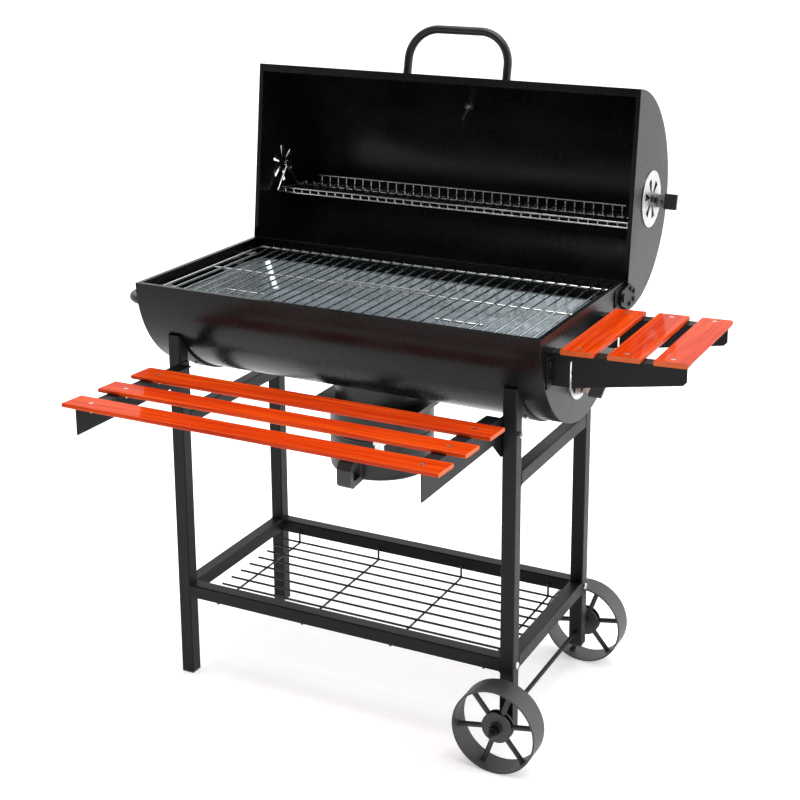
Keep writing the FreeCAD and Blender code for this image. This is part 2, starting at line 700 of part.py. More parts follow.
def thermometer():
    """Dial gauge outside the lid with its nut and probe inside."""
    y = -LID_R
    z = LID_AXIS_Z
    case = rod((0, y - 3.5, z), (0, y - 13, z), 30)
    rim = [e for e in case.Edges if len(e.Vertexes) == 1 and e.CenterOfMass.y < y - 12]
    case = case.makeFillet(2.5, rim).cut(rod((0, y - 11.5, z), (0, y - 20, z), 26))
    stem = rod((0, y + 36, z), (0, y - 4, z), 2.6)
    neck = rod((0, y - 4, z), (0, y, z), 9)
    nut = hex_x(0, 5, 0, 0, 15).rotated(V(0, 0, 0), Z, 90).translated(V(0, y + SHEET, z))
    gauge = join([case, stem, neck, nut])
    return opened(around_lid(gauge, GAUGE_ANGLE))


def lid_skin_holes():
    """Bores through the lid skin for the gauge and the plate rivets."""
    bores = [around_lid(rod((0, -300, LID_AXIS_Z), (0, -100, LID_AXIS_Z), 2.6), GAUGE_ANGLE)]
    for x in (-NAME_RIVET_X, NAME_RIVET_X):
        bores.append(around_lid(rod((x, -300, LID_AXIS_Z), (x, -100, LID_AXIS_Z), 1.6), NAME_ANGLE))
    return opened(Part.makeCompound(bores))


# ---------------------------------------------------------------- vents and rack

PIN_R = 3.0
RACK_X = 380.0
RACK_DROP = 50.0
RACK_EDGE = 9.0
RACK_FENCE = 14.0
DAMPER_REST = 15.0


def damper(y, z, x_face, tab_angle, slot_angle, reach=38):
    """Slotted disc just off the end plate, its tab folded outward at the disc edge."""
    x0 = x_face + 0.35
    x1 = x0 + SHEET
    disc = disc_x(x0, x1, y, z, VENT_R)
    slots = slot_cutters(x0 - 1, x1 + 1, y, z, slot_angle + DAMPER_REST, reach)
    disc = disc.cut(Part.makeCompound(slots))
    tab = box(x0, x0 + 15, y + VENT_R - 3.5, y + VENT_R - 3.5 + SHEET, z - 12, z + 12)
    tab = tab.rotated(V(0, y, z), X, tab_angle)
    return join([disc, tab]).cut(disc_x(x0 - 1, x1 + 1, y, z, PIN_R + 0.35))


def damper_grip(y, z, x_face, tab_angle):
    x0 = x_face + 0.35
    yc = y + VENT_R - 3.5 + SHEET / 2
    grip = box(x0 + 11, x0 + 35, yc - 3.5, yc + 3.5, z - 14.5, z + 14.5)
    grip = grip.makeFillet(1.2, grip.Edges)
    cuts = [box(x0 + 10, x0 + 15, yc - SHEET / 2, yc + SHEET / 2, z - 12, z + 12)]
    for k in range(5):
        groove = x0 + 18 + 3.2 * k
        for side in (-3.5, 3.5):
            cuts.append(box(groove, groove + 1.2, yc + side - 0.6, yc + side + 0.6, z - 11.5, z + 11.5))
    return grip.cut(Part.makeCompound(cuts)).rotated(V(0, y, z), X, tab_angle)


def lid_vent_centre():
    return LID_VENT_Y, LID_AXIS_Z + LID_VENT_RISE


LID_TAB = LID_OPEN - 15.0
LID_SLOT = 90.0 + LID_OPEN
BOWL_TAB = -60.0


def lid_vent(sx):
    shape = opened(damper(*lid_vent_centre(), LID_HALF, LID_TAB, LID_SLOT))
    return shape if sx > 0 else mirror_x(shape)


def lid_vent_grip(sx):
    shape = opened(damper_grip(*lid_vent_centre(), LID_HALF, LID_TAB))
    return shape if sx > 0 else mirror_x(shape)


def bowl_vent():
    return damper(BOWL_VENT_Y, BOWL_VENT_Z, BOWL_HALF, BOWL_TAB, 90, BOWL_SLOT_REACH)


def bowl_vent_grip():
    return damper_grip(BOWL_VENT_Y, BOWL_VENT_Z, BOWL_HALF, BOWL_TAB)


def rack_pins():
    """Centre bolts of the lid vents; their inner ends carry the warming rack."""
    y, z = lid_vent_centre()
    x0, x1 = RACK_X - 8, LID_HALF + 2.2
    pin = join([disc_x(x0, x1, y, z, PIN_R),
                disc_x(x0, x0 + 3, y, z, 6.5),
                disc_x(LID_HALF - SHEET - 4, LID_HALF - SHEET, y, z, 7.0),
                dome((LID_HALF + 2.2, y, z), (1, 0, 0), 6.0, 3.0)])
    pin = opened(pin)
    return Part.makeCompound([pin, mirror_x(pin)])


def rack_centre():
    """Middle of the vent bolts with the lid open."""
    y, z = lid_vent_centre()
    a = math.radians(-LID_OPEN)
    dy, dz = y - HINGE_Y, z - HINGE_Z
    return HINGE_Y + dy * math.cos(a) - dz * math.sin(a), HINGE_Z + dy * math.sin(a) + dz * math.cos(a)


def warming_rack():
    """Wire shelf hanging level from the vent bolts on V-shaped end wires.

    The deck's cross wires turn down at both sides onto the low side wires. All but the last two
    at each end also turn up at the rear and carry the fence wire.
    """
    yc, zc = rack_centre()
    front, rear = yc - 38.0, yc + 42.0
    low = zc - RACK_DROP
    deck = low + RACK_EDGE
    fence = deck + RACK_FENCE
    r, cross = 2.0, 1.5
    count = 40
    pitch = 2 * RACK_X / count
    wires = []
    for x in (-RACK_X, RACK_X):
        for y in (front, rear):
            wires.append(rod((x, yc, zc - 3.0), (x, y, low), r))
        wires.append(rod((x, front, low), (x, rear, low), r))
    for y in (front, rear):
        wires.append(rod((-RACK_X, y, low), (RACK_X, y, low), r))
    wires.append(rod((-RACK_X + 9, front, deck), (RACK_X - 9, front, deck), r))
    fence_half = RACK_X - 2.6 * pitch
    wires.append(rod((-fence_half, rear, fence), (fence_half, rear, fence), r))
    for k in range(1, count):
        x = -RACK_X + pitch * k
        wires.append(rod((x, front, deck), (x, rear, deck), cross))
        wires.append(rod((x, front, low), (x, front, deck), cross))
        top = fence if 3 <= k <= count - 3 else deck
        wires.append(rod((x, rear, low), (x, rear, top), cross))
    bends = [Part.makeSphere(r, V(x, y, low)) for x in (-RACK_X, RACK_X) for y in (front, rear)]
    eyes = [disc_x(x - 2.5, x + 2.5, yc, zc, 6.4) for x in (-RACK_X, RACK_X)]
    rack = join(wires + bends + eyes)
    bores = [disc_x(x - 5, x + 5, yc, zc, PIN_R + 0.4) for x in (-RACK_X, RACK_X)]
    return rack.cut(Part.makeCompound(bores))


# ---------------------------------------------------------------- ash catcher

def ash_duct():
    """Short neck under the bowl, a square plate with turned-down edges, and the round duct below it."""
    z0, z1 = ASH_SEAM_Z, ASH_PLATE_Z
    duct = Part.makeCylinder(ASH_R, z1 - z0 - 1, V(0, 0, z0), Z)
    bead = Part.makeCylinder(ASH_R + 1.5, 5, V(0, 0, z0), Z)
    duct = join([duct, bead]).cut(Part.makeCylinder(ASH_R - SHEET, z1 - z0 - SHEET, V(0, 0, z0), Z))
    neck = Part.makeCylinder(ASH_NECK_R, 80, V(0, 0, z1 - 1), Z)
    neck = neck.cut(disc_x(-150, 150, 0, BOWL_AXIS_Z, BOWL_R))

    def square(half, corner, low, high):
        points = [(-half, -half, low), (half, -half, low), (half, half, low), (-half, half, low)]
        return plate(points, corner, V(0, 0, high - low))

    h = ASH_PLATE_HALF
    cover = square(h, 6, z1 - 9, z1).cut(square(h - SHEET, 4.5, z1 - 10, z1 - SHEET))
    bore = Part.makeCylinder(ASH_NECK_R - SHEET, 200, V(0, 0, z0 - 10), Z)
    return join([duct, cover, neck]).cut(bore)


def ash_cup():
    gap = 0.5
    z1 = ASH_SEAM_Z - gap
    body = Part.makeCylinder(ASH_R, z1 - ASH_FLOOR_Z, V(0, 0, ASH_FLOOR_Z), Z)
    low = [e for e in body.Edges if len(e.Vertexes) == 1 and e.CenterOfMass.z < ASH_FLOOR_Z + 1]
    body = body.makeFillet(12, low)
    hollow = Part.makeCylinder(ASH_R - SHEET, z1 - ASH_FLOOR_Z, V(0, 0, ASH_FLOOR_Z + SHEET), Z)
    low = [e for e in hollow.Edges if len(e.Vertexes) == 1 and e.CenterOfMass.z < ASH_FLOOR_Z + 3]
    hollow = hollow.makeFillet(10.5, low)
    bead = Part.makeCylinder(ASH_R + 1.5, 4, V(0, 0, z1 - 4), Z)
    return join([body, bead]).cut(hollow)


CUP_HANDLE_ANGLE = -92.0


def ash_cup_handle():
    """Moulded grip on the cup with a finger hole."""
    outline = ((ASH_R - 8, 417), (ASH_R + 34, 411), (ASH_R + 42, 418), (ASH_R + 42, 446),
               (ASH_R + 34, 458), (ASH_R + 6, 466), (ASH_R - 8, 466))
    grip = plate_y(outline, 5, -14, 14)
    hole = plate_y(((ASH_R + 7, 426), (ASH_R + 31, 424), (ASH_R + 31, 445), (ASH_R + 7, 452)), 4, -20, 20)
    grip = grip.cut(hole).cut(Part.makeCylinder(ASH_R, 120, V(0, 0, 400), Z))
    return grip.rotated(V(0, 0, 0), Z, CUP_HANDLE_ANGLE)


def ash_latches():
    """Spring clips on the duct that hold the cup by its bead."""
    parts = []
    for a in (-65, 55, 175):
        base = box(ASH_R + 1.5, ASH_R + 3, -11, 11, ASH_SEAM_Z + 1, ASH_SEAM_Z + 18)
        foot = box(ASH_R, ASH_R + 3, -11, 11, ASH_SEAM_Z + 6, ASH_SEAM_Z + 18)
        foot = foot.cut(Part.makeCylinder(ASH_R, 60, V(0, 0, ASH_SEAM_Z - 20), Z))
        spring = box(ASH_R + 2.0, ASH_R + 3.2, -8, 8, ASH_SEAM_Z - 12, ASH_SEAM_Z + 4)
        parts.append(join([base, foot, spring]).rotated(V(0, 0, 0), Z, a))
    return Part.makeCompound(parts)


# ---------------------------------------------------------------- assembly

def assembly():
    nodes = {
        "bowl_shell": bowl_shell(),
        "bowl_end_left": bowl_end_left(),
        "bowl_end_right": bowl_end_right(),
        "bowl_hinges": bowl_hinges(),
        "hinge_pins": hinge_pins(),
        "leg_plugs": leg_plugs(),
        "low_rail_front": long_rail(-1),
        "low_rail_rear": long_rail(1),
        "low_rail_left": side_rail(-1, LOW_RAIL_Z),
        "low_rail_right": side_rail(1, LOW_RAIL_Z),
        "high_rail_left": side_rail(-1, HIGH_RAIL_Z),
        "high_rail_right": side_rail(1, HIGH_RAIL_Z),
        "saddle_left": saddle(-1),
        "saddle_right": saddle(1),
        "shelf_hangers": shelf_hangers(),
        "shelf_wires": shelf_wires(),
        "frame_bolts": frame_bolts(),
        "axle": axle(),
        "axle_fittings": axle_fittings(),
        "wheel_front": wheel(-1),
        "wheel_rear": wheel(1),
        "front_bracket_left": front_bracket(-1),
        "front_bracket_right": front_bracket(1),
        "front_slat_back": front_slat(0),
        "front_slat_middle": front_slat(1),
        "front_slat_front": front_slat(2),
        "side_bracket_front": side_bracket(0),
        "side_bracket_rear": side_bracket(1),
        "side_slat_inner": side_slat(0),
        "side_slat_middle": side_slat(1),
        "side_slat_outer": side_slat(2),
        "shelf_screws": shelf_screws(),
        "cooking_grate": cooking_grate(),
        "charcoal_pan": charcoal_pan(),
        "inner_supports": inner_supports(),
        "transport_handle": transport_handle(),
        "ash_duct": ash_duct(),
        "ash_latches": ash_latches(),
        "ash_cup": ash_cup(),
        "ash_cup_handle": ash_cup_handle(),
        "lid_shell": lid_shell().cut(lid_skin_holes()),
        "lid_handle": opened(lid_handle_closed()),
        "lid_hinges": lid_hinges(),
        "lid_bolts": lid_bolts(),
        "nameplate": nameplate(),
        "thermometer": thermometer(),
        "rack_pins": rack_pins(),
        "warming_rack": warming_rack(),
        "bowl_vent": bowl_vent(),
        "bowl_vent_grip": bowl_vent_grip(),
    }
    for sx, side in ((-1, "left"), (1, "right")):
        for sy, end in ((-1, "front"), (1, "rear")):
            nodes[f"leg_{end}_{side}"] = leg(sx, sy)
        nodes[f"lid_vent_{side}"] = lid_vent(sx)
        nodes[f"lid_vent_grip_{side}"] = lid_vent_grip(sx)
    end = opened(lid_end_closed())
    nodes["lid_end_right"] = end
    nodes["lid_end_left"] = mirror_x(end)
    for name in ("saddle_left", "saddle_right", "bowl_shell"):
        nodes[name] = nodes[name].cut(nodes["frame_bolts"])
    hinge_holes = disc_x(-400, 400, HINGE_Y, HINGE_Z, 5.0)
    for name in ("bowl_end_left", "bowl_end_right"):
        nodes[name] = nodes[name].cut(hinge_holes)
    for name in ("lid_end_left", "lid_end_right"):
        nodes[name] = nodes[name].cut(nodes["lid_bolts"])
    for name in ("front_bracket_left", "front_bracket_right"):
        nodes[name] = nodes[name].cut(nodes["frame_bolts"])
    for name in ("lid_bolts", "thermometer"):
        nodes[name] = nodes[name].cut(nodes["lid_shell"])
    return nodes


def footprint_shift(nodes):
    bounds = FreeCAD.BoundBox()
    for shape in nodes.values():
        bounds.add(shape.BoundBox)
    return V(-bounds.Center.x, -bounds.Center.y, 0)


NODES = assembly()
SHIFT = footprint_shift(NODES)

os.makedirs("parts", exist_ok=True)
for node, shape in NODES.items():
    shape.translated(SHIFT).exportStep(f"parts/{node}.step")
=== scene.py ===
import json
import math

import bmesh
import bpy
import numpy as np
from mathutils import Matrix, Vector


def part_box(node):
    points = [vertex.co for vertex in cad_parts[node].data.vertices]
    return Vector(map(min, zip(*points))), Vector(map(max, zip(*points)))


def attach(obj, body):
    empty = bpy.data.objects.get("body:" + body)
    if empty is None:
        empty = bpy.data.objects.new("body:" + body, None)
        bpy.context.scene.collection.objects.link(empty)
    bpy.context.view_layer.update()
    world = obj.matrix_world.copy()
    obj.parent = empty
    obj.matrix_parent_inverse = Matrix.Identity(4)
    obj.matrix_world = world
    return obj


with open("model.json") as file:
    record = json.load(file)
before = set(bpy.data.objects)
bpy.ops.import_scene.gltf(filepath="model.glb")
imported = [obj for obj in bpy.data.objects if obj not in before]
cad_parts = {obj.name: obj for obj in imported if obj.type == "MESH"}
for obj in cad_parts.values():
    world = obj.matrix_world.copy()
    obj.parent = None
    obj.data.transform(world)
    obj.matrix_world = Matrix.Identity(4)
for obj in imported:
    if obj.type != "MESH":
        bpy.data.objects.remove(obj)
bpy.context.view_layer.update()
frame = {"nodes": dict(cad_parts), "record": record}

MM = 0.001

# camera, measured from the middle of the barrel
CAMERA_OFFSET = Vector((1.2430, -2.3138))
CAMERA_HEIGHT = 1.4745
CAMERA_AZIMUTH = 25.29
CAMERA_ELEVATION = 14.10
CAMERA_ROLL = 0.21
CAMERA_LENS = 69.24
CAMERA_SHIFT = (-0.0723, -0.1897)

# details that the frame's boxes don't give
SPOKES = 6
SPOKE_TURN = 10.0
SPOKE_R = 4.5 * MM
BAND_T = 3.0 * MM
SPOKE_BEAD_POINTS = 26
DIAL_R = 26.0 * MM
DIAL_DEPTH = 1.4 * MM
DIAL_STEPS = 96
DIAL_FACE_T = 0.1 * MM
DIAL_SWEEP = (225.0, -45.0)
DIAL_MARKS = 40
NEEDLE_ANGLE = 205.0
RAILS = ("low_rail_front", "low_rail_rear", "low_rail_left", "low_rail_right",
         "high_rail_left", "high_rail_right")

# the room's light: a base strength, and lobes as direction, cosine where each starts and is full, amount
ROOM_STRENGTH = 0.95
ROOM_LOBES = (((1.0, 0.45, 0.10), 0.45, 0.95, 1.1),
              ((0.1, 0.75, 0.66), 0.35, 0.95, 0.6),
              ((-0.05, -0.80, 0.60), 0.35, 0.85, -0.80),
              ((0.35, -0.93, 0.1), 0.6, 0.95, -0.10))


# ---------------------------------------------------------------- material graphs

class Graph:
    """One material's nodes, with a short call for each kind used here."""

    def __init__(self, name):
        self.material = bpy.data.materials.new(name)
        self.material.use_nodes = True
        self.tree = self.material.node_tree
        self.shader = self.tree.nodes["Principled BSDF"]
        coordinates = self.node("ShaderNodeTexCoord")
        self.place = coordinates.outputs["Object"]
        self.facing = coordinates.outputs["Normal"]

    def node(self, kind, **settings):
        node = self.tree.nodes.new(kind)
        for key, value in settings.items():
            setattr(node, key, value)
        return node

    def feed(self, socket, value):
        if isinstance(value, bpy.types.NodeSocket):
            self.tree.links.new(value, socket)
        else:
            socket.default_value = value

    def set(self, **values):
        """Puts values or links on the shader's sockets; an underscore stands for a space."""
        for key, value in values.items():
            self.feed(self.shader.inputs[key.replace("_", " ")], value)

    def scaled(self, scale, where=None):
        node = self.node("ShaderNodeMapping")
        self.feed(node.inputs["Vector"], where or self.place)
        node.inputs["Scale"].default_value = scale
        return node.outputs["Vector"]

    def noise(self, scale, detail=3.0, where=None, distortion=0.0):
        node = self.node("ShaderNodeTexNoise")
        self.feed(node.inputs["Vector"], where or self.place)
        node.inputs["Scale"].default_value = scale
        node.inputs["Detail"].default_value = detail
        node.inputs["Distortion"].default_value = distortion
        return node.outputs["Fac"]

    def cells(self, scale, output="Distance", where=None):
        node = self.node("ShaderNodeTexVoronoi")
        self.feed(node.inputs["Vector"], where or self.place)
        node.inputs["Scale"].default_value = scale
        return node.outputs[output]

    def ramp(self, value, low, high, to_low=0.0, to_high=1.0):
        node = self.node("ShaderNodeMapRange", interpolation_type="SMOOTHSTEP")
        self.feed(node.inputs["Value"], value)
        for name, number in (("From Min", low), ("From Max", high), ("To Min", to_low), ("To Max", to_high)):
            node.inputs[name].default_value = number
        return node.outputs["Result"]

    def math(self, operation, a, b=0.0):
        node = self.node("ShaderNodeMath", operation=operation)
        self.feed(node.inputs[0], a)
        self.feed(node.inputs[1], b)
        return node.outputs["Value"]

    def axis(self, vector, name):
        node = self.node("ShaderNodeSeparateXYZ")
        self.feed(node.inputs["Vector"], vector)
        return node.outputs[name]

    def mix(self, share, a, b):
        node = self.node("ShaderNodeMix", data_type="RGBA")
        self.feed(node.inputs["Factor"], share)
        colours = [s for s in node.inputs if s.type == "RGBA"]
        for socket, value in zip(colours, (a, b)):
            self.feed(socket, (*value, 1.0) if isinstance(value, tuple) else value)
        return next(s for s in node.outputs if s.type == "RGBA")

    def rounded(self, radius):
        """Normal of the surface with its edges rounded, which catches light along them."""
        node = self.node("ShaderNodeBevel", samples=4)
        node.inputs["Radius"].default_value = radius
        return node.outputs["Normal"]

    def worn(self, rounded_normal):
        """1 along edges, 0 elsewhere, broken up as handling breaks up an edge."""
        flat = self.node("ShaderNodeNewGeometry").outputs["Normal"]
        node = self.node("ShaderNodeVectorMath", operation="DOT_PRODUCT")
        self.feed(node.inputs[0], rounded_normal)
        self.feed(node.inputs[1], flat)
        edge = self.ramp(node.outputs["Value"], 0.985, 0.80)
        return self.math("MULTIPLY", edge, self.ramp(self.noise(70, 4), 0.38, 0.62, 0.35, 1.0))

    def bump(self, height, strength, depth, normal):
        node = self.node("ShaderNodeBump")
        node.inputs["Strength"].default_value = strength
        node.inputs["Distance"].default_value = depth
        self.feed(node.inputs["Height"], height)
        self.feed(node.inputs["Normal"], normal)
        return node.outputs["Normal"]


def paint(name, base, rough, specular, peel, worn_to, edge=0.5 * MM):
    """Sprayed or powder-coated steel: faint clouding, fine orange peel, paler edges."""
    g = Graph(name)
    normal = g.rounded(edge)
    cloud = g.noise(7, 5)
    speck = g.noise(420, 2)
    dark = tuple(c * 0.7 for c in base)
    light = tuple(c * 1.35 for c in base)
    colour = g.mix(g.ramp(cloud, 0.3, 0.7), dark, light)
    colour = g.mix(g.worn(normal), colour, worn_to)
    g.set(Base_Color=colour, Specular_IOR_Level=specular)
    g.set(Roughness=g.math("ADD", g.ramp(cloud, 0.3, 0.7, rough - 0.04, rough + 0.04),
                           g.ramp(speck, 0.3, 0.7, -0.03, 0.05)))
    height = g.math("ADD", g.noise(160, 2), g.math("MULTIPLY", speck, 0.5))
    g.set(Normal=g.bump(height, peel, 0.15 * MM, normal))
    return g.material


def metal(name, base, rough, crystal=0.0, lines=None, edge=0.3 * MM, bump=0.12, metallic=1.0,
          contrast=0.35):
    """Bare or plated metal: crystals of zinc, drawn lines, or a clean plating with faint stains."""
    g = Graph(name)
    normal = g.rounded(edge)
    stain = g.noise(28, 5, distortion=0.6)
    dull = tuple(c * 0.78 for c in base)
    colour = g.mix(g.ramp(stain, 0.32, 0.66), base, dull)
    height = g.noise(260, 3)
    finish = g.ramp(stain, 0.3, 0.7, rough - 0.05, rough + 0.07)
    if crystal:
        tone = g.axis(g.cells(crystal, "Color"), "X")
        colour = g.mix(g.ramp(tone, 0.0, 1.0, 0.0, contrast), colour, tuple(c * 0.55 for c in base))
        finish = g.math("ADD", finish, g.ramp(tone, 0.0, 1.0, -0.05, 0.08))
    if lines:
        drawn = g.noise(60, 4, g.scaled(lines))
        height = drawn
        finish = g.math("ADD", finish, g.ramp(drawn, 0.3, 0.7, -0.05, 0.1))
    g.set(Base_Color=colour, Metallic=metallic, Roughness=finish)
    g.set(Normal=g.bump(height, bump, 0.1 * MM, normal))
    return g.material


def wood(name, along):
    """Orange-stained, varnished board with its grain along x or y."""
    g = Graph(name)
    normal = g.rounded(0.8 * MM)
    long_way = (0.9, 14, 14) if along == "X" else (14, 0.9, 14)
    fine_way = (2.5, 95, 95) if along == "X" else (95, 2.5, 95)
    figure = g.noise(2.2, 6, g.scaled(long_way), distortion=1.4)
    fibre = g.noise(2.0, 4, g.scaled(fine_way))
    pores = g.ramp(g.noise(6.0, 2, g.scaled(fine_way)), 0.60, 0.74)
    colour = g.mix(g.ramp(figure, 0.30, 0.72), (0.64, 0.066, 0.005), (0.50, 0.034, 0.003))
    colour = g.mix(g.ramp(fibre, 0.40, 0.66, 0.0, 0.75), colour, (0.38, 0.019, 0.002))
    colour = g.mix(g.math("MULTIPLY", pores, 0.6), colour, (0.24, 0.012, 0.002))
    end = g.ramp(g.math("ABSOLUTE", g.axis(g.facing, along)), 0.6, 0.8)
    colour = g.mix(g.math("MULTIPLY", end, 0.6), colour, (0.68, 0.16, 0.05))
    colour = g.mix(g.worn(normal), colour, (0.18, 0.008, 0.002))
    g.set(Base_Color=colour, Roughness=g.ramp(fibre, 0.3, 0.7, 0.38, 0.52))
    g.set(Coat_Weight=0.35, Coat_Roughness=0.09, Coat_IOR=1.42, Specular_IOR_Level=0.0)
    height = g.math("ADD", g.math("MULTIPLY", fibre, 0.6), g.math("MULTIPLY", pores, -0.5))
    g.set(Normal=g.bump(height, 0.16, 0.2 * MM, normal))
    g.feed(g.shader.inputs["Coat Normal"], g.bump(g.noise(55, 2), 0.05, 0.3 * MM, normal))
    return g.material


def plastic(name, base, rough):
    """Moulded plastic with a fine spark-eroded grain and rubbed edges."""
    g = Graph(name)
    normal = g.rounded(0.6 * MM)
    grain = g.cells(950)
    cloud = g.noise(22, 4)
    colour = g.mix(g.ramp(cloud, 0.3, 0.7), base, tuple(c * 1.6 for c in base))
    colour = g.mix(g.math("MULTIPLY", g.worn(normal), 0.5), colour, tuple(c * 4 for c in base))
    g.set(Base_Color=colour, Roughness=g.ramp(cloud, 0.3, 0.7, rough - 0.05, rough + 0.08))
    g.set(Normal=g.bump(grain, 0.2, 0.15 * MM, normal))
    return g.material


def enamel(name, base, speckle):
    """Printed enamel of the gauge's face and its markings."""
    g = Graph(name)
    fleck = g.ramp(g.noise(700, 2), 0.55, 0.7)
    g.set(Base_Color=g.mix(fleck, base, speckle), Roughness=g.ramp(g.noise(90, 3), 0.3, 0.7, 0.25, 0.4))
    g.set(Normal=g.bump(g.noise(500, 2), 0.05, 0.05 * MM, g.rounded(0.1 * MM)))
    return g.material


def floor_finish(name):
    g = Graph(name)
    cloud = g.noise(1.5, 3)
    g.set(Base_Color=g.mix(g.ramp(cloud, 0.3, 0.7), (0.92, 0.92, 0.92), (0.94, 0.94, 0.94)), Roughness=0.9)
    g.set(Emission_Color=(1.0, 1.0, 1.0, 1.0), Emission_Strength=0.38)
    return g.material


BLACK = (0.0042, 0.0050, 0.0054)
POWDER = (0.0056, 0.0068, 0.0076)
FINISHES = {
    "barrel_paint": paint("barrel_paint", BLACK, 0.27, 0.17, 0.035, (0.09, 0.095, 0.10)),
    "frame_paint": paint("frame_paint", POWDER, 0.44, 0.17, 0.18, (0.045, 0.05, 0.055)),
    "wheel_paint": paint("wheel_paint", (0.035, 0.036, 0.038), 0.5, 0.5, 0.35, (0.10, 0.10, 0.10)),
    "can_paint": paint("can_paint", BLACK, 0.38, 0.40, 0.15, (0.12, 0.12, 0.12)),
    "handle_tube": paint("handle_tube", (0.013, 0.013, 0.014), 0.36, 0.34, 0.12, (0.06, 0.06, 0.06)),
    "wire_black": paint("wire_black", POWDER, 0.34, 0.4, 0.10, (0.04, 0.04, 0.04)),
    "zinc": metal("zinc", (0.70, 0.71, 0.71), 0.28, crystal=150),
    "wire_chrome": metal("wire_chrome", (0.78, 0.79, 0.80), 0.16),
    "pan_steel": metal("pan_steel", (0.37, 0.42, 0.445), 0.26, crystal=190, metallic=0.72, contrast=0.16),
    "black_plastic": plastic("black_plastic", (0.012, 0.012, 0.013), 0.48),
    "nameplate_metal": metal("nameplate_metal", (0.72, 0.72, 0.73), 0.30, lines=(0.4, 30, 30)),
    "gauge_steel": metal("gauge_steel", (0.62, 0.61, 0.60), 0.26, lines=(30, 1, 1)),
}
WOOD = {"front": wood("slat_wood_front", "X"), "side": wood("slat_wood_side", "Y")}


def finish_for(node, slot):
    if slot == "slat_wood":
        return WOOD["front" if node.startswith("front") else "side"]
    return FINISHES[slot]


for part in frame["record"]["subparts"]:
    shown = frame["nodes"][part["node"]]
    if not shown.material_slots:
        shown.data.materials.append(None)
    for place in shown.material_slots:
        place.material = finish_for(part["node"], part["material_slot"])


# ---------------------------------------------------------------- pieces

def piece(name, mesh, body, material):
    """Puts a finished bmesh in the scene, on its body, with its finish."""
    bmesh.ops.recalc_face_normals(mesh, faces=mesh.faces)
    data = bpy.data.meshes.new(name)
    mesh.to_mesh(data)
    mesh.free()
    data.shade_smooth()
    data.materials.append(material)
    made = bpy.data.objects.new(name, data)
    bpy.context.scene.collection.objects.link(made)
    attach(made, body)
    return made


def middle(node):
    low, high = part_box(node)
    return (low + high) / 2


def add_bead(mesh, points, radius, ripple=0.22, sides=8):
    """Closed weld bead through the points: a tube whose size ripples as the puddle advances."""
    count = len(points)
    rings = []
    for i, point in enumerate(points):
        ahead = (points[(i + 1) % count] - points[i - 1]).normalized()
        across = ahead.orthogonal().normalized()
        other = ahead.cross(across)
        r = radius * (1 + ripple * math.sin(2.1 * i) + 0.12 * math.sin(0.37 * i + 1.0))
        ring = []
        for k in range(sides):
            t = 2 * math.pi * k / sides
            ring.append(mesh.verts.new(point + r * (math.cos(t) * across + math.sin(t) * other)))
        rings.append(ring)
    for i, ring in enumerate(rings):
        following = rings[(i + 1) % count]
        nearest = min(range(sides), key=lambda k: (following[k].co - ring[0].co).length)
        for k in range(sides):
            a, b = k, (k + 1) % sides
            mesh.faces.new((ring[a], ring[b],
                            following[(b + nearest) % sides], following[(a + nearest) % sides]))


def loop_round(centre, u, v, half_u, half_v, step):
    """Points round a rectangle, evenly spaced along each side."""
    corners = [centre - u * half_u - v * half_v, centre + u * half_u - v * half_v,
               centre + u * half_u + v * half_v, centre - u * half_u + v * half_v]
    points = []
    for a, b in zip(corners, corners[1:] + corners[:1]):
        count = max(2, round((b - a).length / step))
        points += [a.lerp(b, i / count) for i in range(count)]
    return points


def rail_welds():
    """Weld beads where each rail meets its two legs."""
    mesh = bmesh.new()
    for rail in RAILS:
        low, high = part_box(rail)
        size = high - low
        k = max(range(3), key=lambda n: size[n])
        along = Vector([1.0 if n == k else 0.0 for n in range(3)])
        side = Vector([0.0, 1.0, 0.0]) if k == 0 else Vector([1.0, 0.0, 0.0])
        up = Vector((0, 0, 1))
        half = size[2] / 2 - 0.6 * MM
        for end in (-1, 1):
            centre = (low + high) / 2 + along * end * (size[k] / 2 - 0.4 * MM)
            add_bead(mesh, loop_round(centre, side, up, half, half, 1.1 * MM), 1.3 * MM)
    return piece("rail_welds", mesh, "base", FINISHES["frame_paint"])


def wheel_welds(node, body):
    """Beads round the ends of the spokes, on the inside of the wheel's band."""
    mesh = bmesh.new()
    low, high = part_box(node)
    centre = (low + high) / 2
    inside = (high.z - low.z) / 2 - BAND_T
    for k in range(SPOKES):
        a = math.radians(360 / SPOKES * k + SPOKE_TURN)
        out = Vector((math.cos(a), 0, math.sin(a)))
        side = Vector((0, 1, 0))
        up = out.cross(side)
        points = []
        for i in range(SPOKE_BEAD_POINTS):
            t = 2 * math.pi * i / SPOKE_BEAD_POINTS
            round_spoke = (side * math.cos(t) + up * math.sin(t)) * (SPOKE_R + 0.4 * MM)
            points.append(centre + out * (inside - 0.5 * MM) + round_spoke)
        add_bead(mesh, points, 1.4 * MM)
    return piece(body + "_welds", mesh, body, FINISHES["wheel_paint"])


def lid_axis():
    """Middle of the lid's round skin in the y-z plane, by a least-squares circle."""
    points = np.array([v.co[1:] for v in frame["nodes"]["lid_shell"].data.vertices])
    rows = np.column_stack([2 * points, np.ones(len(points))])
    answer = np.linalg.lstsq(rows, (points ** 2).sum(1), rcond=None)[0]
    return Vector((0, answer[0], answer[1]))


def gauge_frame():
    """Dial centre, outward direction and the dial's own up direction."""
    centre = middle("thermometer")
    out = centre - lid_axis()
    out.x = 0
    out.normalize()
    points = [v.co.dot(out) for v in frame["nodes"]["thermometer"].data.vertices]
    across = Vector((1, 0, 0))
    up = out.cross(across)
    axis = lid_axis()
    foot = Vector((centre.x, axis.y, axis.z))
    return foot + out * (max(points) - foot.dot(out)), out, up, across


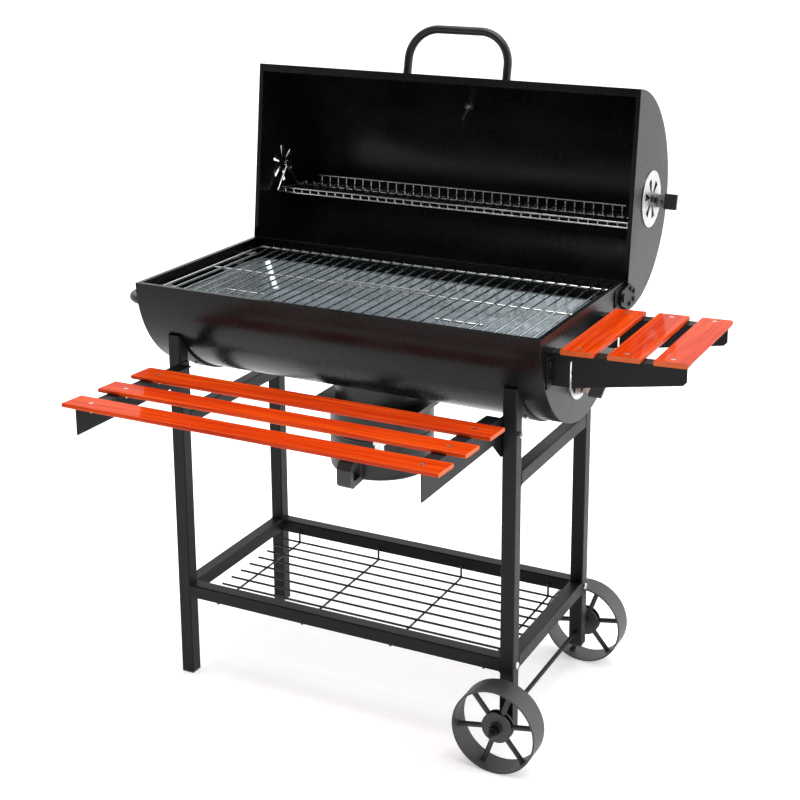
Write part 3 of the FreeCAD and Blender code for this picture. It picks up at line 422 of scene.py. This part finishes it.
def add_bar(mesh, origin, u, v, w, box):
    """Bar with chamfered top edges; box is (u0, u1, v0, v1, w0, w1) along the three directions."""
    u0, u1, v0, v1, w0, w1 = box
    c = min(w1 - w0, (v1 - v0) / 2, (u1 - u0) / 2) * 0.4
    levels = ((w0, 0.0), (w1 - c, 0.0), (w1, c))
    rings = []
    for height, inset in levels:
        corners = ((u0 + inset, v0 + inset), (u1 - inset, v0 + inset),
                   (u1 - inset, v1 - inset), (u0 + inset, v1 - inset))
        rings.append([mesh.verts.new(origin + u * a + v * b + w * height) for a, b in corners])
    for low, high in zip(rings, rings[1:]):
        for k in range(4):
            mesh.faces.new((low[k], low[(k + 1) % 4], high[(k + 1) % 4], high[k]))
    mesh.faces.new(rings[-1])
    mesh.faces.new(rings[0][::-1])


def dial():
    """Face, scale marks and needle inside the thermometer's case."""
    rim, out, up, across = gauge_frame()
    floor = rim - out * DIAL_DEPTH
    radius = DIAL_R - 0.3 * MM

    face = bmesh.new()
    levels = ((radius * 0.55, DIAL_FACE_T), (radius - 1.2 * MM, DIAL_FACE_T), (radius, 0.6 * MM))
    middle_vertex = face.verts.new(floor + out * DIAL_FACE_T)
    rings = []
    for r, height in levels:
        ring = []
        for k in range(DIAL_STEPS):
            t = 2 * math.pi * k / DIAL_STEPS
            ring.append(face.verts.new(floor + out * height + (across * math.cos(t) + up * math.sin(t)) * r))
        rings.append(ring)
    for k in range(DIAL_STEPS):
        after = (k + 1) % DIAL_STEPS
        face.faces.new((middle_vertex, rings[0][k], rings[0][after]))
        for low, high in zip(rings, rings[1:]):
            face.faces.new((low[k], high[k], high[after], low[after]))
    cream = enamel("gauge_face", (0.78, 0.77, 0.73), (0.66, 0.65, 0.61))
    piece("gauge_face", face, "lid", cream)

    marks = bmesh.new()
    base = floor + out * DIAL_FACE_T
    first, last = DIAL_SWEEP
    for k in range(DIAL_MARKS + 1):
        a = math.radians(first + (last - first) * k / DIAL_MARKS)
        radial = across * math.cos(a) + up * math.sin(a)
        side = out.cross(radial)
        major = k % 5 == 0
        length = 4.5 * MM if major else 2.4 * MM
        half = 0.45 * MM if major else 0.2 * MM
        outer = radius - 2.2 * MM
        add_bar(marks, base, radial, side, out, (outer - length, outer, -half, half, 0.0, 0.12 * MM))
    ink = enamel("gauge_ink", (0.02, 0.02, 0.02), (0.05, 0.05, 0.05))
    piece("gauge_marks", marks, "lid", ink)

    needle = bmesh.new()
    a = math.radians(NEEDLE_ANGLE)
    radial = across * math.cos(a) + up * math.sin(a)
    side = out.cross(radial)
    add_bar(needle, base, radial, side, out,
            (-6 * MM, radius - 5 * MM, -0.5 * MM, 0.5 * MM, 0.35 * MM, 0.6 * MM))
    flat_boss = (Matrix.Translation(base + out * 0.2 * MM)
                 @ out.to_track_quat("Z", "Y").to_matrix().to_4x4() @ Matrix.Diagonal((1, 1, 0.45, 1)))
    bmesh.ops.create_uvsphere(needle, u_segments=20, v_segments=10, radius=1.9 * MM, matrix=flat_boss)
    red = enamel("gauge_needle_red", (0.45, 0.02, 0.015), (0.30, 0.015, 0.01))
    piece("gauge_needle", needle, "lid", red)


rail_welds()
wheel_welds("wheel_front", "front_wheel")
wheel_welds("wheel_rear", "rear_wheel")
dial()


# ---------------------------------------------------------------- stage, light and camera

def stage():
    floor = bmesh.new()
    bmesh.ops.create_grid(floor, x_segments=8, y_segments=8, size=60.0)
    data = bpy.data.meshes.new("floor")
    floor.to_mesh(data)
    floor.free()
    data.materials.append(floor_finish("floor"))
    made = bpy.data.objects.new("floor", data)
    bpy.context.scene.collection.objects.link(made)


def studio():
    """Soft white room: brighter from the right and from above the rear, dimmer high in front."""
    world = bpy.data.worlds.new("studio")
    bpy.context.scene.world = world
    world.use_nodes = True
    tree = world.node_tree
    background = tree.nodes["Background"]
    place = tree.nodes.new("ShaderNodeTexCoord").outputs["Generated"]

    def lobe(direction, low, high, amount):
        dot = tree.nodes.new("ShaderNodeVectorMath")
        dot.operation = "DOT_PRODUCT"
        tree.links.new(place, dot.inputs[0])
        dot.inputs[1].default_value = Vector(direction).normalized()
        ramp = tree.nodes.new("ShaderNodeMapRange")
        ramp.interpolation_type = "SMOOTHSTEP"
        tree.links.new(dot.outputs["Value"], ramp.inputs["Value"])
        ramp.inputs["From Min"].default_value = low
        ramp.inputs["From Max"].default_value = high
        ramp.inputs["To Min"].default_value = 0.0
        ramp.inputs["To Max"].default_value = amount
        return ramp.outputs["Result"]

    total = None
    for settings in ROOM_LOBES:
        add = tree.nodes.new("ShaderNodeMath")
        add.operation = "ADD"
        tree.links.new(lobe(*settings), add.inputs[0])
        if total is None:
            add.inputs[1].default_value = ROOM_STRENGTH
        else:
            tree.links.new(total, add.inputs[1])
        total = add.outputs["Value"]
    tree.links.new(total, background.inputs["Strength"])
    background.inputs["Color"].default_value = (1.0, 1.0, 1.0, 1.0)


def area_light(name, place, aim, size, watts):
    light = bpy.data.lights.new(name, "AREA")
    light.shape = "DISK"
    light.size = size
    light.energy = watts
    lamp = bpy.data.objects.new(name, light)
    lamp.location = place
    lamp.rotation_mode = "QUATERNION"
    lamp.rotation_quaternion = (Vector(place) - Vector(aim)).to_track_quat("Z", "Y")
    bpy.context.scene.collection.objects.link(lamp)


def camera():
    data = bpy.data.cameras.new("camera")
    data.sensor_width = 36.0
    data.lens = CAMERA_LENS
    data.shift_x, data.shift_y = CAMERA_SHIFT
    data.clip_start, data.clip_end = 0.05, 200.0
    made = bpy.data.objects.new("camera", data)
    barrel = middle("bowl_shell")
    turn = (Matrix.Rotation(math.radians(CAMERA_AZIMUTH), 4, "Z")
            @ Matrix.Rotation(math.radians(90 - CAMERA_ELEVATION), 4, "X")
            @ Matrix.Rotation(math.radians(CAMERA_ROLL), 4, "Z"))
    place = Vector((barrel.x + CAMERA_OFFSET.x, barrel.y + CAMERA_OFFSET.y, CAMERA_HEIGHT))
    made.matrix_world = Matrix.Translation(place) @ turn
    bpy.context.scene.collection.objects.link(made)
    bpy.context.scene.camera = made


stage()
studio()
area_light("key", (0.1, -0.2, 4.6), (0, 0, 0.5), 3.6, 165)
camera()
bpy.context.scene.view_settings.view_transform = "Standard"
